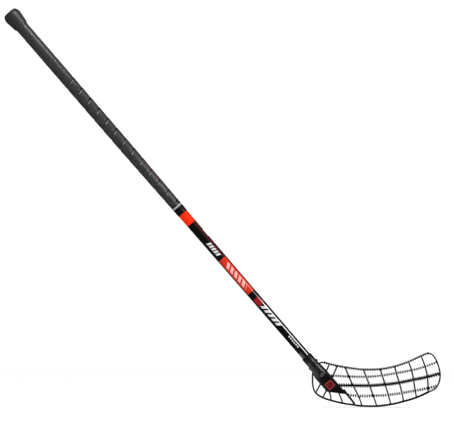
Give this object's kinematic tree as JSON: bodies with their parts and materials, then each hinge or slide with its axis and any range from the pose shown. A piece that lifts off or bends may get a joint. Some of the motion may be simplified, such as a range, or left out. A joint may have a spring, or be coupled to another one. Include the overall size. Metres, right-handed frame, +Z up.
{
  "type": "floorball stick",
  "caption": "Floorball stick: hollow tapered shaft with wound grip and flared butt, screwed into the socket of a hooked open-lattice plastic blade.",
  "frame": {"origin": "on the shaft axis, at the middle of the upper hand's hold on the grip", "axes": "playing position with the sole down: +X towards the toe, +Y to the back of the blade, +Z up"},
  "size_m": [0.8287, 0.0394, 0.758],
  "materials": {
    "shaft_lacquer": "clear lacquer over black composite with red bands",
    "plug_plastic": "moulded black plastic",
    "knob_rubber": "soft charcoal rubber",
    "grip_strip": "soft charcoal strip with a fine grain",
    "band_film": "thin black film",
    "blade_plastic": "satin black moulded plastic",
    "screw_steel": "zinc-plated steel"
  },
  "bodies": {
    "root": {"shaft": "shaft_lacquer", "end_plug": "plug_plastic", "end_knob": "knob_rubber", "grip_tape": "grip_strip", "finishing_tape": "band_film", "blade": "blade_plastic", "front_screw": "screw_steel", "rear_screw": "screw_steel"}
  },
  "joints": []
}
